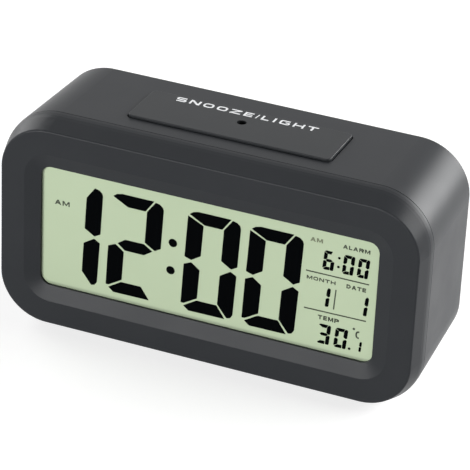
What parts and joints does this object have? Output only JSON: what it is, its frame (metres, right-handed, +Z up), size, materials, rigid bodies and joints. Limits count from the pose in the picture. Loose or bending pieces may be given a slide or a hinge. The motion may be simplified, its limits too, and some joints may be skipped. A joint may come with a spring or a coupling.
{
  "type": "desk alarm clock",
  "caption": "Rounded-box desk alarm clock: bevelled front bezel round an LCD window, raised snooze bar on top, rear set keys, alarm slide and a tip-out battery door.",
  "frame": {"origin": "middle of the underside's bounding box, on the table", "axes": "+Z up, +X to the right of someone facing the display, +Y to the rear; the display faces -Y"},
  "size_m": [0.135, 0.0464, 0.0715],
  "materials": {
    "case_plastic": "charcoal moulded plastic with a fine matt spark-eroded texture",
    "bar_plastic": "charcoal moulded plastic, slightly smoother than the case",
    "key_plastic": "dark moulded plastic, satin",
    "lcd_glass": "pale green reflective display behind an anti-glare film",
    "light_guide": "milky acrylic",
    "white_sheet": "white reflector film",
    "connector_rubber": "layered conductive silicone strip",
    "led_package": "white package with yellow phosphor",
    "circuit_board": "green solder mask over glass fibre laminate",
    "chip_epoxy": "black potting resin",
    "plated_steel": "nickel plated sheet and wire",
    "screw_steel": "zinc plated self-tapping screws",
    "switch_plastic": "black moulded switch bodies",
    "plunger_plastic": "moulded plungers",
    "sensor_resin": "dark clear resin",
    "cell_jacket": "plain foil jacket",
    "lead_black": "black insulated wire",
    "lead_red": "red insulated wire",
    "flat_cable": "grey flat cable"
  },
  "bodies": {
    "case": {"front_bezel": "case_plastic", "body_shell": "case_plastic", "lcd_panel": "lcd_glass", "light_guide": "light_guide", "reflector_sheet": "white_sheet", "lcd_connector": "connector_rubber", "backlight_leds": "led_package", "main_board": "circuit_board", "clock_chip": "chip_epoxy", "quartz_crystal": "plated_steel", "board_screws": "screw_steel", "case_screws": "screw_steel", "snooze_switch": "switch_plastic", "snooze_board": "circuit_board", "light_sensor": "sensor_resin", "snooze_screws": "screw_steel", "key_switches": "switch_plastic", "key_board": "circuit_board", "key_board_screws": "screw_steel", "alarm_switch": "plated_steel", "buzzer": "switch_plastic", "battery_cell_bottom": "cell_jacket", "battery_cell_middle": "cell_jacket", "battery_cell_top": "cell_jacket", "negative_contact": "plated_steel", "positive_contact": "plated_steel", "right_link_contact": "plated_steel", "left_link_contact": "plated_steel", "battery_springs": "plated_steel", "negative_lead": "lead_black", "positive_lead": "lead_red", "key_cable": "flat_cable", "snooze_cable": "flat_cable"},
    "snooze_button": {"snooze_bar": "bar_plastic", "snooze_plunger": "plunger_plastic"},
    "mode_button": {"mode_key": "key_plastic", "mode_plunger": "plunger_plastic"},
    "set_button": {"set_key": "key_plastic", "set_plunger": "plunger_plastic"},
    "up_button": {"up_key": "key_plastic", "up_plunger": "plunger_plastic"},
    "down_button": {"down_key": "key_plastic", "down_plunger": "plunger_plastic"},
    "alarm_slider": {"alarm_knob": "key_plastic"},
    "battery_cover": {"battery_door": "case_plastic"}
  },
  "joints": [
    {"name": "snooze_press", "type": "slide", "parent": "case", "child": "snooze_button", "axis": [0, 0, -1], "range_m": [0, 0.0008], "stiffness_N_per_m": 2000, "springref_m": -0.0003},
    {"name": "mode_press", "type": "slide", "parent": "case", "child": "mode_button", "axis": [0, -1, 0], "range_m": [0, 0.0005], "stiffness_N_per_m": 2000, "springref_m": -0.0002},
    {"name": "set_press", "type": "slide", "parent": "case", "child": "set_button", "axis": [0, -1, 0], "range_m": [0, 0.0005], "stiffness_N_per_m": 2000, "springref_m": -0.0002},
    {"name": "up_press", "type": "slide", "parent": "case", "child": "up_button", "axis": [0, -1, 0], "range_m": [0, 0.0005], "stiffness_N_per_m": 2000, "springref_m": -0.0002},
    {"name": "down_press", "type": "slide", "parent": "case", "child": "down_button", "axis": [0, -1, 0], "range_m": [0, 0.0005], "stiffness_N_per_m": 2000, "springref_m": -0.0002},
    {"name": "alarm_slide", "type": "slide", "parent": "case", "child": "alarm_slider", "axis": [1, 0, 0], "range_m": [0, 0.003]},
    {"name": "battery_door_swing", "type": "hinge", "parent": "case", "child": "battery_cover", "pos_m": [0, 0.02145, 0.007], "axis": [-1, 0, 0], "range_deg": [0, 65]}
  ]
}
